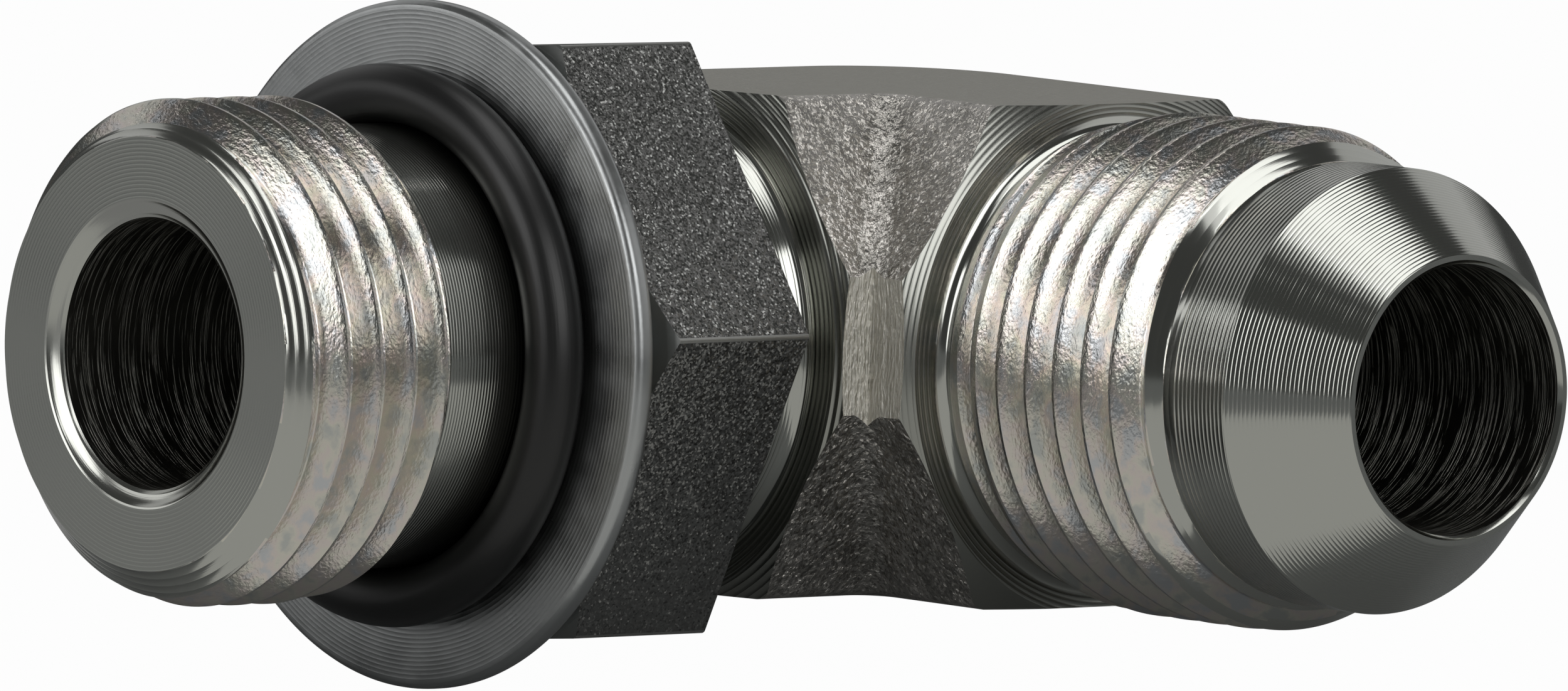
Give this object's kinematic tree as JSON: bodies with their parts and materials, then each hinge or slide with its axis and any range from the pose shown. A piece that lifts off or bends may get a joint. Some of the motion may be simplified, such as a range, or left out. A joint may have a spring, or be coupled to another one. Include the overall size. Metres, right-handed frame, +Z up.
{
  "type": "hydraulic elbow adapter",
  "caption": "Right-angle hydraulic adapter with a flared tube end and an adjustable O-ring boss end that carries a locknut, a backup washer and an O-ring.",
  "frame": {"origin": "the point where the axes of the two drilled passages cross", "axes": "+X along the boss arm towards the port, +Y along the flare arm towards the tube, +Z up"},
  "size_m": [0.0476, 0.0448, 0.0258],
  "materials": {
    "plated_steel": "zinc plated, turned bright at the ends and shot blasted on the forging",
    "nut_steel": "dark plated, finely blasted",
    "washer_steel": "smooth satin plate",
    "nitrile_rubber": "satin black"
  },
  "bodies": {
    "elbow": {"elbow_body": "plated_steel", "o_ring": "nitrile_rubber"},
    "washer": {"backup_washer": "washer_steel"},
    "nut": {"locknut": "nut_steel"}
  },
  "joints": [
    {"name": "washer_slide", "type": "slide", "parent": "elbow", "child": "washer", "axis": [1, 0, 0], "range_m": [-0.003, 0]},
    {"name": "locknut_turn", "type": "hinge", "parent": "washer", "child": "nut", "pos_m": [0.0194, 0, 0], "axis": [1, 0, 0], "range_deg": [-681, 0]}
  ],
  "couplings": [
    {"joint": "locknut_turn", "follows": "washer_slide", "rad_per_m": 3957.9}
  ]
}
